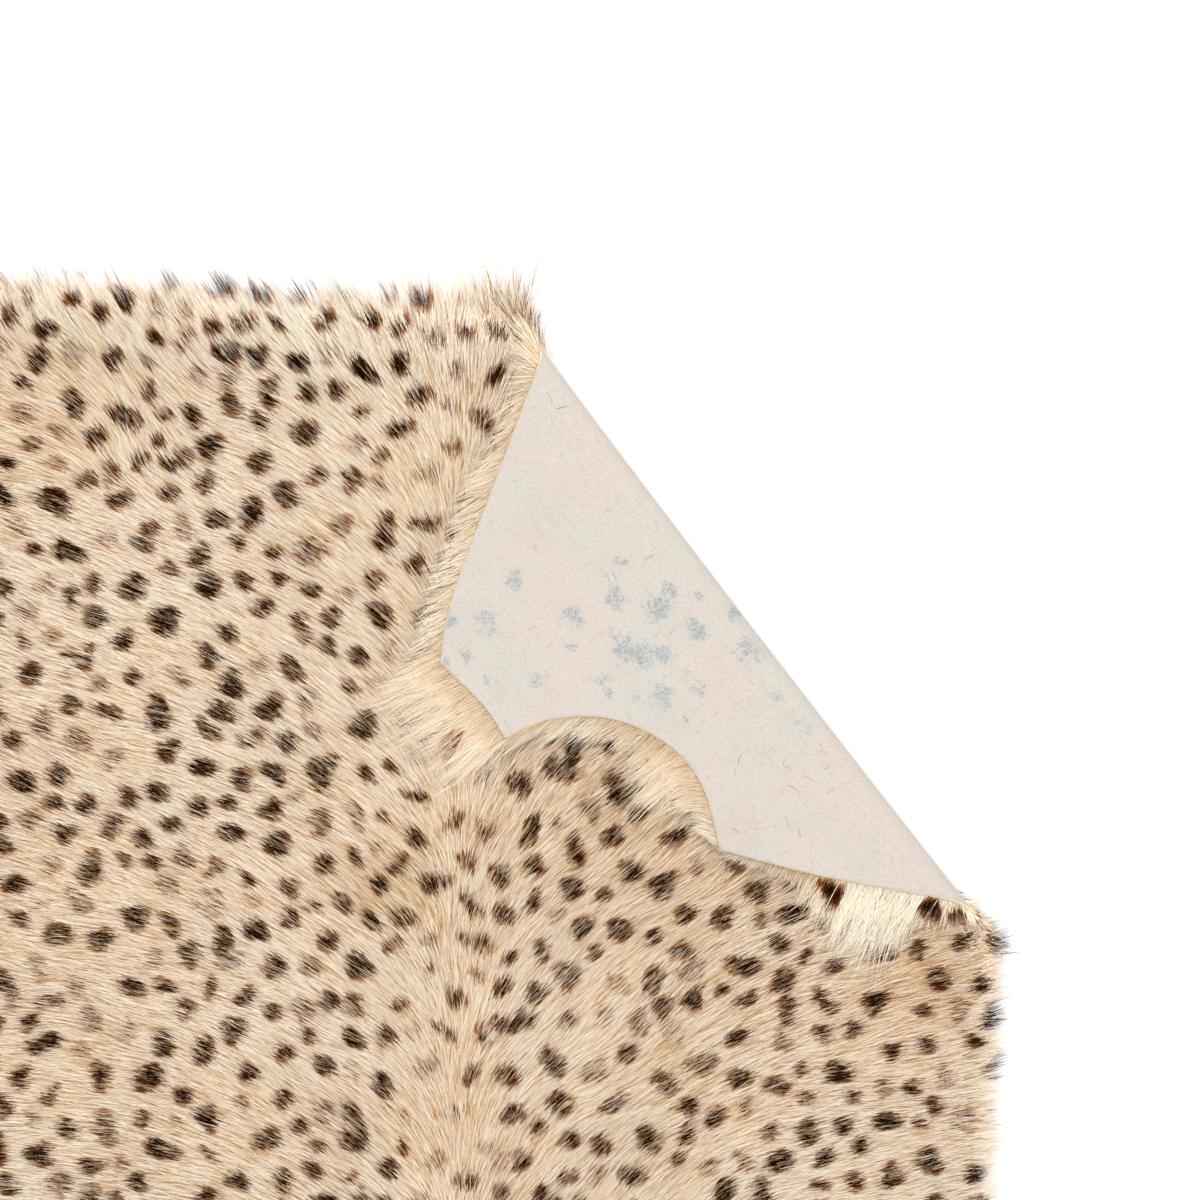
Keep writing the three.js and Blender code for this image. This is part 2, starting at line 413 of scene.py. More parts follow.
def scatter_spots(rng):
    """Spots all over the hide: the larger the wider apart, and closer side by side than in line."""
    low, high = rim.min(axis=0) - SPOT_MARGIN, rim.max(axis=0) + SPOT_MARGIN
    darts = rng.uniform(low, high, (SPOT_TRIALS, 2))
    darts = darts[inside_by(darts) > -SPOT_MARGIN]
    headings = flow(darts)
    sizes = np.clip(rng.normal(1.0, 0.17, len(darts)), 0.62, 1.45)
    close = np.where(rng.random(len(darts)) < 0.004, 0.62, 1.0)
    kept = np.empty(0, dtype=int)
    for dart in range(len(darts)):
        offset = darts[kept] - darts[dart]
        ahead, aside = headings[dart]
        along = (offset[:, 0] * ahead + offset[:, 1] * aside) / SPOT_GAP_ALONG
        across = (offset[:, 1] * ahead - offset[:, 0] * aside) / SPOT_GAP_ACROSS
        room = 0.5 * (sizes[kept] + sizes[dart]) * close[dart]
        if not np.any(along**2 + across**2 < room**2):
            kept = np.append(kept, dart)
    heading = headings[kept]
    count = len(kept)
    on_parting = np.exp(-(((darts[kept, 0] - PARTING_X) / PARTING_BAND) ** 2))
    ratio = np.clip(rng.normal(SPOT_LONG, 0.28, count) + 0.85 * on_parting, 0.75, 2.4)
    lean = rng.normal(0.0, 0.45, count)
    square = np.column_stack([-heading[:, 1], heading[:, 0]])
    turned = rotated(square, lean)
    size = SPOT_RADIUS * sizes[kept] * (1.0 - 0.14 * on_parting)
    faded = rng.random(count) < FADED_SHARE
    strength = np.where(faded, rng.uniform(*FADED_STRENGTH, count), rng.uniform(*FULL_STRENGTH, count))
    strength = strength * (1.0 - 0.2 * on_parting)
    wobble = rng.normal(0.0, 1.0, (count, 3, 2)) * np.array([0.07, 0.12, 0.09])[None, :, None]
    return Spots(darts[kept], turned, size * np.sqrt(ratio), size / np.sqrt(ratio), strength, wobble)


# Dark tufts in the fringe of the turned-back corner, as they lie on the rug seen from above
FringeMark = namedtuple("FringeMark", "across up long wide turn strength")
FRINGE_MARKS = [
    FringeMark(0.216, 0.147, 0.0085, 0.0060, 2.3, 0.95),
    FringeMark(0.269, 0.139, 0.0075, 0.0058, 1.9, 0.95),
    FringeMark(0.285, 0.133, 0.0065, 0.0045, 2.2, 0.80),
    FringeMark(0.010, 0.226, 0.0080, 0.0045, 1.2, 0.45),
]


def fringe_marks(rng):
    rows = np.array(FRINGE_MARKS)
    turn = rows[:, 4]
    wobble = rng.normal(0.0, 0.08, (len(rows), 3, 2))
    heading = np.column_stack([np.cos(turn), np.sin(turn)])
    return Spots(rows[:, :2], heading, rows[:, 2], rows[:, 3], rows[:, 5], wobble)


Print = namedtuple("Print", "depth strength")
Prints = namedtuple("Prints", "coat flap")


def print_charts(all_spots):
    """How far inside a spot each place on the flat hide lies, and how strong that spot is."""
    depth, strength = Chart(PRINT_PITCH), Chart(PRINT_PITCH)
    depth.values[:] = -0.01
    reach = int(0.018 / PRINT_PITCH)
    for centre, heading, long, wide, spot_strength, wobble in zip(*all_spots):
        i, j = ((centre - depth.low) / PRINT_PITCH).astype(int)
        rows = np.arange(max(i - reach, 0), min(i + reach, depth.shape[0]))
        columns = np.arange(max(j - reach, 0), min(j + reach, depth.shape[1]))
        if len(rows) == 0 or len(columns) == 0:
            continue
        dx = (rows * PRINT_PITCH + depth.low[0] - centre[0])[:, None]
        dy = (columns * PRINT_PITCH + depth.low[1] - centre[1])[None, :]
        forward = (dx * heading[0] + dy * heading[1]) / long
        aside = (dy * heading[0] - dx * heading[1]) / wide
        angle = np.arctan2(aside, forward)
        edge = 1.0 + sum(
            even * np.cos(n * angle) + odd * np.sin(n * angle) for n, (even, odd) in enumerate(wobble, 1)
        )
        inside = (1.0 - np.hypot(forward, aside) / np.maximum(edge, 0.4)) * wide
        window = np.ix_(rows, columns)
        nearest = inside > depth.values[window]
        strength.values[window] = np.where(nearest, spot_strength, strength.values[window])
        depth.values[window] = np.where(nearest, inside, depth.values[window])
    return Print(depth, strength)


def tuft_share(back, middle, span):
    """1 in the middle of a tuft, fading to 0 along the rim."""
    return np.exp(-(((back - middle) / span) ** 2))


def hair_share(points):
    """Share of the full hair count that grows at each place: less where no one sees it."""
    past = to_fold(points)[1]
    rim_gap = inside_by(points)
    above = points + np.outer(BEND_LENGTH - 2.0 * past, fold_out)
    hidden_below = np.where(past < 0.0, smooth(inside_by(above), 0.020, 0.045), 0.0)
    hidden_above = np.where(past > 0.0, smooth(rim_gap, 0.024, 0.036), 0.0)
    back = RUMP_Y - points[:, 1]
    open_share = mixed(1.0, 0.62, smooth(back, 0.47, 0.60))
    at_rump = 1.0 - smooth(back, 0.02, 0.05)
    flap_more = FLAP_HAIR * (1.0 - BELLY_THINNER * tuft_share(back, BELLY_BACK, BELLY_SPAN))
    more = mixed(mixed(RIM_HAIR, RUMP_HAIR, at_rump), flap_more, turned_share(points))
    edge_share = 1.0 + np.exp(-np.maximum(rim_gap, 0.0) / 0.010) * more
    share = open_share * edge_share * mixed(1.0, 0.08, np.maximum(hidden_below, hidden_above))
    return np.where(rim_gap > 0.0004, share, 0.0)


def scatter_roots(rng):
    low, high = rim.min(axis=0), rim.max(axis=0)
    trial = rng.uniform(low, high, (60000, 2))
    pitch = math.sqrt(hair_share(trial).mean() * np.prod(high - low) / (HAIR_COUNT * MOST_HAIR))
    grid = np.meshgrid(np.arange(low[0], high[0], pitch), np.arange(low[1], high[1], pitch))
    roots = np.stack([g.ravel() for g in grid], axis=1)
    roots = roots + rng.uniform(0.0, pitch, roots.shape)
    return roots[rng.random(len(roots)) * MOST_HAIR < hair_share(roots)]


# Patches of darker and paler hair
TAN_PATCHES = [
    Patch(-0.005, 0.143, 0.022, 0.22),
    Patch(0.092, 0.143, 0.050, 0.02),
    Patch(0.146, 0.153, 0.055, 0.16),
    Patch(0.014, 0.146, 0.012, -0.25),
    Patch(0.092, 0.200, 0.030, 0.20),
    Patch(0.262, 0.106, 0.045, 0.34),
    Patch(-0.190, 0.150, 0.060, 0.14),
    Patch(-0.200, 0.418, 0.050, 0.12),
    Patch(-0.092, 0.305, 0.050, -0.16),
]

Hair = namedtuple("Hair", "flat stations tone dye start end")


Places = namedtuple("Places", "on_flap near_rim belly notch cut_end flank rump_side")


def fringe_places(roots):
    """How far each root is on the flap, at the rim, and in each part of the flap's fringe."""
    x = roots[:, 0]
    back = RUMP_Y - roots[:, 1]
    on_flap = turned_share(roots)
    near_rim = np.exp(-np.maximum(inside_by(roots), 0.0) / RIM_BAND)
    flap_rim = on_flap * near_rim
    belly = tuft_share(back, BELLY_BACK, BELLY_SPAN) * flap_rim
    notch = tuft_share(back, NOTCH_BACK, NOTCH_SPAN) * flap_rim
    cut_end = smooth(x, 0.236, 0.252) * (1.0 - smooth(back, 0.036, 0.055)) * flap_rim
    flank = smooth(back, 0.155, 0.165) * (1.0 - smooth(back, 0.198, 0.230)) * flap_rim
    rump_side = (1.0 - smooth(back, -0.004, 0.012)) * (1.0 - smooth(x, 0.225, 0.245)) * flap_rim
    return Places(on_flap, near_rim, belly, notch, cut_end, flank, rump_side)


def hair_lengths(rng, roots, at):
    """Longer along the rump and in the flap's tufts, shorter along its other edges."""
    back = RUMP_Y - roots[:, 1]
    at_rump = 1.0 - smooth(back, 0.0, 0.12)
    to_right = np.clip((roots[:, 0] - RUMP_LONGER_FROM) / RUMP_LONGER_RUN, 0.0, 1.0)
    rump_longer = mixed(mixed(*RUMP_LONGER, to_right), FLAP_RUMP_LONGER, at.on_flap)
    longer = mixed(RIM_LONGER, rump_longer, at_rump)
    length = HAIR_LENGTH + at.near_rim * longer
    length = length * (1.0 - at.rump_side * mixed(*RUMP_SIDE_CUT, smooth(roots[:, 0], 0.11, 0.20)))
    length = length + BELLY_LONGER * at.belly + NOTCH_LONGER * at.notch
    length = length + CUT_END_LONGER * at.cut_end - FLANK_SHORTER * at.flank
    notch_end = smooth(back, 0.140, 0.158) * (back < 0.165) * at.on_flap * at.near_rim
    length = length * (1.0 - NOTCH_END_CUT * notch_end * (1.0 - at.flank))
    spread = mixed(LENGTH_SPREAD, RUMP_SIDE_SPREAD, at.rump_side)
    return length * np.clip(1.0 + spread * rng.normal(0.0, 1.0, len(roots)), 0.45, 1.4)


def hair_tones(rng, roots, at):
    """Uneven in soft patches, a little darker on the flap and paler in its tufts."""
    tone = COAT_TONE + FLAP_TONE * at.on_flap
    tone = tone + 0.07 * soft_patches(roots, 0.16, SEED + 3)
    tone = tone + 0.05 * soft_patches(roots, 0.06, SEED + 6)
    tone = tone + sum(row.strength * round_patch(roots, row) for row in TAN_PATCHES)
    spread = mixed(TONE_SPREAD, FLAP_TONE_SPREAD, at.on_flap)
    tone = tone + spread * rng.normal(0.0, 1.0, len(roots))
    tone = tone - 0.52 * at.belly - 0.04 * at.notch + 0.10 * at.flank - 0.12 * at.rump_side
    return np.clip(tone, 0.0, 1.0)


def lay_hair(rng, roots, steps, spots):
    """Strands of some straight steps, each with its shade and the stretch of it that is dyed."""
    count = len(roots)
    at = fringe_places(roots)
    length = hair_lengths(rng, roots, at)
    stray = rng.normal(0.0, HAIR_STRAY, count) * (1.0 + BELLY_LOOSER * at.belly)
    level = rng.normal(0.0, PILE_SPREAD, count)
    pile = PILE + PILE_LUMP * soft_patches(roots, 0.09, SEED + 2)

    flat = [roots]
    for _ in range(steps):
        step = length[:, None] / steps
        middle = flat[-1] + 0.5 * step * flow(flat[-1])
        flat.append(flat[-1] + step * rotated(flow(middle), stray))
    flat = np.stack(flat, axis=1)

    stations = []
    for k in range(steps + 1):
        place = flat[:, k]
        rise = 1.0 - (1.0 - k / steps) ** 2
        depth = LEATHER + (pile + level) * rise
        over = smooth(-inside_by(place), 0.0, 0.024)
        rest = mixed(FLOOR_HAIR_REST, FLAP_HAIR_REST, smooth(turned_share(place), 0.1, 0.9))
        stations.append(folded(place, mixed(depth, rest + np.abs(level), over)))
    stations = np.stack(stations, axis=1)
    combed = comb_fold_ends(rng, roots, stations, length)
    in_fringe = inside_by(roots) < FRINGE_BAND
    stations = np.where(in_fringe[:, None, None], combed, stations)

    tone = hair_tones(rng, roots, at)
    lying = np.where((at.on_flap > 0.5)[:, None, None], stations[..., :2], flat)
    marks = [dyed_stretch(rng, lying, length, print_of) for print_of in (spots.coat, spots.flap)]
    dye, start, end = (np.where(at.on_flap > 0.5, flap, coat) for coat, flap in zip(*marks))
    lies_flat = to_fold(roots)[1] < -0.01
    lower_side = at.rump_side * smooth(roots[:, 0], 0.12, 0.18)
    smoky = np.where(lies_flat, SMOKY_RIM * at.near_rim, SMOKY_FLAP * lower_side)
    smoky_tip = rng.random(count) < smoky
    dye = np.where(smoky_tip, 0.85 - 0.25 * at.on_flap, dye)
    start = np.where(smoky_tip, 0.55 - 0.25 * at.on_flap, start)
    end = np.where(smoky_tip, 2.0, end)
    return Hair(flat, stations, tone, dye, start, end)


def comb_fold_ends(rng, roots, stations, length):
    """Hair at either end of the fold stands out past the rim and turns with the bend."""
    along, past = to_fold(roots)
    share = turned_share(roots)
    in_bend = smooth(past, -0.026, -0.004) * (1.0 - smooth(past, 0.9 * BEND_LENGTH, 1.3 * BEND_LENGTH))
    at_rump = along < 0.5 * fold_length
    fold_angle = math.atan2(fold_along[1], fold_along[0])
    from_rim = np.where(at_rump, 0.5 * math.pi, 0.3)
    to_rim = 2.0 * fold_angle - from_rim + np.where(at_rump, 2.0 * math.pi, 0.0)
    spread = rng.normal(0.0, 1.0, (len(roots), 3))
    angle = mixed(from_rim, to_rim, share) + FOLD_END_SPREAD * spread[:, 0]
    shortest = np.where(at_rump, 0.55, 0.42)
    reach = length * mixed(FOLD_END_REACH, shortest, smooth(share, 0.0, 0.5))
    reach = reach * (1.0 + 0.15 * spread[:, 1])
    base = stations[:, 0]
    tips = base + np.column_stack([reach * np.cos(angle), reach * np.sin(angle), np.zeros(len(roots))])
    limit = FOLD_END_LIMIT + 0.001 * spread[:, 2]
    tips[:, 0] = np.where(at_rump, np.minimum(tips[:, 0], limit), tips[:, 0])
    tips[:, 2] = mixed(base[:, 2] - 0.001, FLAP_HAIR_REST, smooth(share, 0.3, 0.7))
    run = np.linspace(0.0, 1.0, stations.shape[1])[None, :, None]
    straight = base[:, None] + (tips - base)[:, None] * run
    arch = FOLD_END_ARCH * 4.0 * run * (1.0 - run)
    straight[..., 2] += arch[..., 0] * (1.0 - smooth(share, 0.2, 0.6))[:, None]
    return mixed(stations, straight, in_bend[:, None, None])


def dyed_stretch(rng, flat, length, spots):
    """How dark each strand is dyed, and where on it the dye starts and ends: its outermost spot."""
    count, stations = flat.shape[:2]
    depths = []
    for share in np.linspace(0.0, 1.0, PRINT_SAMPLES):
        step = min(int(share * (stations - 1)), stations - 2)
        place = mixed(flat[:, step], flat[:, step + 1], share * (stations - 1) - step)
        depths.append(spots.depth.read(place))
    depths = np.stack(depths, axis=1)
    inside = depths > 0.0
    row = np.arange(count)
    order = np.arange(PRINT_SAMPLES)
    last = PRINT_SAMPLES - 1 - np.argmax(inside[:, ::-1], axis=1)
    clear = np.where(~inside & (order < last[:, None]), order, -1).max(axis=1)
    first = clear + 1
    past_last = np.minimum(last + 1, PRINT_SAMPLES - 1)
    end = last + depths[row, last] / np.maximum(depths[row, last] - depths[row, past_last], 1e-6)
    end = np.where(last == PRINT_SAMPLES - 1, 2.0 * PRINT_SAMPLES, end) / (PRINT_SAMPLES - 1)
    before = np.maximum(clear, 0)
    start = first - depths[row, first] / np.maximum(depths[row, first] - depths[row, before], 1e-6)
    start = np.where(clear < 0, -1.0, start) / (PRINT_SAMPLES - 1)
    fray = rng.normal(0.0, DYE_FRAY, (count, 2)) / length[:, None]
    start = np.maximum(start + fray[:, 0], DYE_FROM_ROOT)
    end = end + fray[:, 1]
    middle = np.clip(((first + last) / 2).astype(int), 0, PRINT_SAMPLES - 1)
    step = np.minimum((middle / (PRINT_SAMPLES - 1) * (stations - 1)).astype(int), stations - 2)
    share = middle / (PRINT_SAMPLES - 1) * (stations - 1) - step
    strength = spots.strength.read(mixed(flat[row, step], flat[row, step + 1], share[:, None]))
    deepest = np.where(inside & (order >= first[:, None]), depths, 0.0).max(axis=1)
    dye = mixed(0.2, 1.0, strength) * mixed(0.60, 1.0, smooth(deepest, 0.0, 0.0035))
    dye = dye * np.clip(rng.normal(1.0, 0.1, count), 0.6, 1.2)
    plain = rng.random(count) > mixed(0.40, 0.955, smooth(strength, 0.35, 0.9))
    return np.where(inside.any(axis=1) & ~plain, np.clip(dye, 0.0, 1.0), 0.0), start, end


# Materials


def new_material(name):
    material = bpy.data.materials.new(name)
    material.use_nodes = True
    nodes = material.node_tree.nodes
    nodes.clear()
    output = nodes.new("ShaderNodeOutputMaterial")
    shader = nodes.new("ShaderNodeBsdfPrincipled")
    material.node_tree.links.new(shader.outputs["BSDF"], output.inputs["Surface"])
    return material, nodes, material.node_tree.links, shader


def linear(red, green, blue):
    """A colour given in 0 to 255 as on a screen, for a shader."""
    part = [v / 255.0 for v in (red, green, blue)]
    part = [v / 12.92 if v <= 0.04045 else ((v + 0.055) / 1.055) ** 2.4 for v in part]
    return (*part, 1.0)


def ramp(nodes, stops):
    node = nodes.new("ShaderNodeValToRGB")
    while len(node.color_ramp.elements) < len(stops):
        node.color_ramp.elements.new(0.5)
    for element, (position, colour) in zip(node.color_ramp.elements, stops):
        element.position = position
        element.color = colour
    return node


PALE_HAIR = linear(242, 235, 222)
CREAM_HAIR = linear(254, 243, 220)
TAN_HAIR = linear(213, 169, 119)
PALE_DYE = linear(202, 140, 82)
BROWN_DYE = linear(118, 64, 28)
DARK_DYE = linear(28, 15, 8)
DYE_SHARPNESS = 5.0
# Painted shade: hair turns tan towards its roots, deep in the pile where shade falls between strands
ROOT_PAINTED_SHADE = 0.20


def hair_material():
    material, nodes, links, shader = new_material("goat_hair")

    def stored(name):
        node = nodes.new("ShaderNodeAttribute")
        node.attribute_name = name
        return node.outputs["Fac"]

    def worked(operation, first, second, clamp=False):
        node = nodes.new("ShaderNodeMath")
        node.operation = operation
        node.use_clamp = clamp
        for socket, value in zip(node.inputs, (first, second)):
            if isinstance(value, float):
                socket.default_value = value
            else:
                links.new(value, socket)
        return node.outputs["Value"]

    along = stored("along")
    entered = worked("MULTIPLY", worked("SUBTRACT", along, stored("start")), DYE_SHARPNESS)
    not_left = worked("MULTIPLY", worked("SUBTRACT", stored("end"), along), DYE_SHARPNESS)
    within = worked("ADD", worked("MINIMUM", entered, not_left), 0.5, clamp=True)
    dye = worked("MULTIPLY", within, stored("dye"))
    # Painted shade towards the roots, added to each strand's tone
    painted_root_shade = worked("MULTIPLY", worked("POWER", worked("SUBTRACT", 1.0, along), 2.0), ROOT_PAINTED_SHADE)
    plain = ramp(nodes, [(0.0, PALE_HAIR), (0.45, CREAM_HAIR), (1.0, TAN_HAIR)])
    links.new(worked("ADD", stored("tone"), painted_root_shade), plain.inputs["Fac"])
    dyed = ramp(nodes, [(0.15, PALE_DYE), (0.5, BROWN_DYE), (0.92, DARK_DYE)])
    links.new(dye, dyed.inputs["Fac"])
    blend = nodes.new("ShaderNodeMix")
    blend.data_type = "RGBA"
    links.new(worked("MULTIPLY", dye, 4.0, clamp=True), blend.inputs[0])
    links.new(plain.outputs["Color"], blend.inputs[6])
    links.new(dyed.outputs["Color"], blend.inputs[7])
    links.new(blend.outputs[2], shader.inputs["Base Color"])
    shader.inputs["Roughness"].default_value = 0.7
    shader.inputs["Specular IOR Level"].default_value = 0.0
    return material


def root_colour_and_shade_material():
    material, nodes, links, shader = new_material("hair_roots_painted_shade")
    grain = nodes.new("ShaderNodeTexNoise")
    grain.inputs["Scale"].default_value = 420.0
    grain.inputs["Detail"].default_value = 3.0
    place = nodes.new("ShaderNodeTexCoord")
    links.new(place.outputs["Object"], grain.inputs["Vector"])
    # Tan of the hair roots on the hide, partly their own colour and partly painted shade darkening the
    # gaps between strands
    colours = ramp(nodes, [(0.3, linear(216, 182, 138)), (0.7, linear(242, 216, 178))])
    links.new(grain.outputs["Fac"], colours.inputs["Fac"])
    links.new(colours.outputs["Color"], shader.inputs["Base Color"])
    shader.inputs["Roughness"].default_value = 0.8
    return material


def suede_material():
    """Napped flesh side: off-white, mottled and fibrous, with blue-grey show-through of the dye."""
    material, nodes, links, shader = new_material("napped_flesh_side")
    place = nodes.new("ShaderNodeTexCoord").outputs["Object"]

    def noise(scale, detail, vector=place):
        node = nodes.new("ShaderNodeTexNoise")
        node.inputs["Scale"].default_value = scale
        node.inputs["Detail"].default_value = detail
        node.inputs["Roughness"].default_value = 0.65
        links.new(vector, node.inputs["Vector"])
        return node.outputs["Fac"]

    def between(value, *stops):
        node = ramp(nodes, [(position, (level, level, level, 1.0)) for position, level in stops])
        links.new(value, node.inputs["Fac"])
        return node.outputs["Color"]

    def blend(share, first, second):
        node = nodes.new("ShaderNodeMix")
        node.data_type = "RGBA"
        links.new(share, node.inputs[0])
        for socket, value in ((node.inputs[6], first), (node.inputs[7], second)):
            if isinstance(value, tuple):
                socket.default_value = value
            else:
                links.new(value, socket)
        return node.outputs[2]

    def stretched(turn):
        node = nodes.new("ShaderNodeMapping")
        node.vector_type = "TEXTURE"
        node.inputs["Rotation"].default_value = (0.0, 0.0, turn)
        node.inputs["Scale"].default_value = (1.0, 9.0, 1.0)
        links.new(place, node.inputs["Vector"])
        return node.outputs["Vector"]

    def worked(operation, *values):
        node = nodes.new("ShaderNodeMath")
        node.operation = operation
        for socket, value in zip(node.inputs, values):
            if isinstance(value, float):
                socket.default_value = value
            else:
                links.new(value, socket)
        return node.outputs["Value"]

    def stored(name):
        node = nodes.new("ShaderNodeAttribute")
        node.attribute_name = name
        return node.outputs["Fac"]

    clouds = between(noise(20.0, 3.0), (0.38, 0.0), (0.62, 1.0))
    nap = blend(clouds, linear(211, 199, 190), linear(204, 201, 192))
    nap = blend(between(noise(75.0, 5.0), (0.40, 0.25), (0.60, 0.0)), nap, linear(201, 190, 180))
    nap = blend(between(noise(900.0, 3.0), (0.34, 0.48), (0.60, 0.0)), nap, linear(182, 170, 160))
    for turn, scale in ((0.5, 700.0), (-0.9, 620.0), (1.5, 900.0)):
        fibre = between(noise(scale, 1.0, stretched(turn)), (0.69, 0.0), (0.78, 0.55))
        nap = blend(fibre, nap, linear(182, 164, 152))
    rubbed = between(noise(240.0, 4.0, stretched(0.9)), (0.4, 0.1), (0.6, 0.7))
    nap = blend(worked("MULTIPLY", stored("scuff"), rubbed), nap, linear(196, 178, 152))
    stain = stored("stain")
    nap = blend(worked("MULTIPLY", stain, 0.34), nap, linear(182, 188, 186))
    outline = worked("MULTIPLY_ADD", noise(240.0, 3.0), 1.9, -0.95)
    cover = between(worked("ADD", stain, outline), (0.34, 0.0), (0.66, 1.0))
    flecks = between(noise(820.0, 3.0), (0.38, 0.0), (0.62, 0.72))
    nap = blend(worked("MULTIPLY", cover, flecks), nap, linear(126, 143, 152))
    links.new(nap, shader.inputs["Base Color"])
    bump = nodes.new("ShaderNodeBump")
    bump.inputs["Strength"].default_value = 0.4
    bump.inputs["Distance"].default_value = 0.0006
    links.new(noise(700.0, 5.0), bump.inputs["Height"])
    links.new(bump.outputs["Normal"], shader.inputs["Normal"])
    shader.inputs["Roughness"].default_value = 0.95
    shader.inputs["Specular IOR Level"].default_value = 0.1
    return material


def cut_edge_material():
    material, nodes, links, shader = new_material("cut_leather_edge")
    place = nodes.new("ShaderNodeTexCoord")
    noise = nodes.new("ShaderNodeTexNoise")
    noise.inputs["Scale"].default_value = 300.0
    links.new(place.outputs["Object"], noise.inputs["Vector"])
    colours = ramp(nodes, [(0.3, linear(238, 212, 178)), (0.7, linear(246, 226, 196))])
    links.new(noise.outputs["Fac"], colours.inputs["Fac"])
    links.new(colours.outputs["Color"], shader.inputs["Base Color"])
    shader.inputs["Roughness"].default_value = 0.85
    return material


# Leather sheet

# Blue-grey patches where dye shows through on the turned-back corner, and tan scuffs there
STAINS = [
    Patch(0.012, 0.293, 0.004, 0.9),
    Patch(0.009, 0.271, 0.003, 0.8),
    Patch(0.020, 0.274, 0.004, 0.9),
    Patch(0.030, 0.294, 0.007, 0.7),
    Patch(0.033, 0.287, 0.004, 0.7),
    Patch(0.030, 0.262, 0.004, 0.5),
    Patch(0.046, 0.314, 0.006, 0.8),
    Patch(0.057, 0.262, 0.006, 0.5),
    Patch(0.076, 0.297, 0.006, 0.8),
    Patch(0.081, 0.293, 0.004, 0.8),
    Patch(0.076, 0.280, 0.004, 0.6),
    Patch(0.092, 0.262, 0.005, 0.7),
    Patch(0.097, 0.254, 0.004, 0.7),
    Patch(0.103, 0.325, 0.004, 0.8),
    Patch(0.100, 0.306, 0.007, 0.8),
    Patch(0.097, 0.288, 0.003, 0.7),
    Patch(0.106, 0.278, 0.009, 0.8),
    Patch(0.114, 0.276, 0.009, 0.8),
    Patch(0.111, 0.254, 0.004, 0.6),
    Patch(0.123, 0.300, 0.008, 1.0),
    Patch(0.129, 0.310, 0.005, 1.0),
    Patch(0.126, 0.275, 0.006, 0.9),
    Patch(0.125, 0.253, 0.008, 0.7),
    Patch(0.138, 0.265, 0.004, 0.6),
    Patch(0.145, 0.307, 0.003, 0.9),
    Patch(0.143, 0.289, 0.007, 0.9),
    Patch(0.145, 0.257, 0.005, 0.7),
    Patch(0.138, 0.240, 0.004, 0.5),
    Patch(0.164, 0.297, 0.005, 1.0),
    Patch(0.172, 0.278, 0.009, 0.8),
    Patch(0.187, 0.253, 0.005, 0.5),
    Patch(0.201, 0.237, 0.008, 0.5),
]
SCUFFS = [
    Patch(0.061, 0.341, 0.010, 0.6),
    Patch(0.056, 0.357, 0.008, 0.4),
    Patch(0.038, 0.254, 0.005, 0.7),
    Patch(0.170, 0.183, 0.009, 0.7),
    Patch(0.159, 0.181, 0.006, 0.5),
    Patch(0.071, 0.365, 0.009, 0.3),
]

# Loose hairs caught in the nap of the turned-back corner
LooseHairs = namedtuple("LooseHairs", "across up spread count")
LOOSE_HAIRS = [
    LooseHairs(0.066, 0.413, 0.007, 5),
    LooseHairs(0.104, 0.305, 0.020, 4),
    LooseHairs(0.188, 0.210, 0.018, 11),
]
LOOSE_HAIR_STEPS = 6
LOOSE_HAIR_WIDTH = 0.00015


def even_lines(low, high, step):
    return np.linspace(low, high, max(2, math.ceil((high - low) / step) + 1))


def skin_points():
    """Points inside the rim: close together on the flap, in lines round the bend, wide elsewhere."""
    along, past = to_fold(rim)
    sets = []
    bands = [
        (even_lines(past.min(), 0.0, SKIN_STEP), SKIN_STEP),
        (np.linspace(0.0, BEND_LENGTH, 15)[1:-1], 0.004),
        (even_lines(BEND_LENGTH, past.max(), FLAP_STEP), FLAP_STEP),
    ]
    for lines, step in bands:
        runs = even_lines(along.min(), along.max(), step)
        grid = np.meshgrid(runs, lines)
        run, line = (g.ravel() for g in grid)
        flat = fold_start + np.outer(run, fold_along) + np.outer(line - hollow(run), fold_out)
        sets.append(flat[inside_by(flat) > 0.5 * step])
    return np.concatenate(sets)


def patchy(places, rows):
    """The strongest of some soft round patches at each place."""
    return np.max([row.strength * round_patch(places, row) for row in rows], axis=0)


def flap_ripple(flat):
    """How far the turned-back corner rises and falls, as a depth on the flat hide."""
    on_flap = smooth(to_fold(flat)[1], BEND_LENGTH, BEND_LENGTH + 0.03)
    return FLAP_RIPPLE * soft_patches(flat, 0.05, SEED + 5) * on_flap


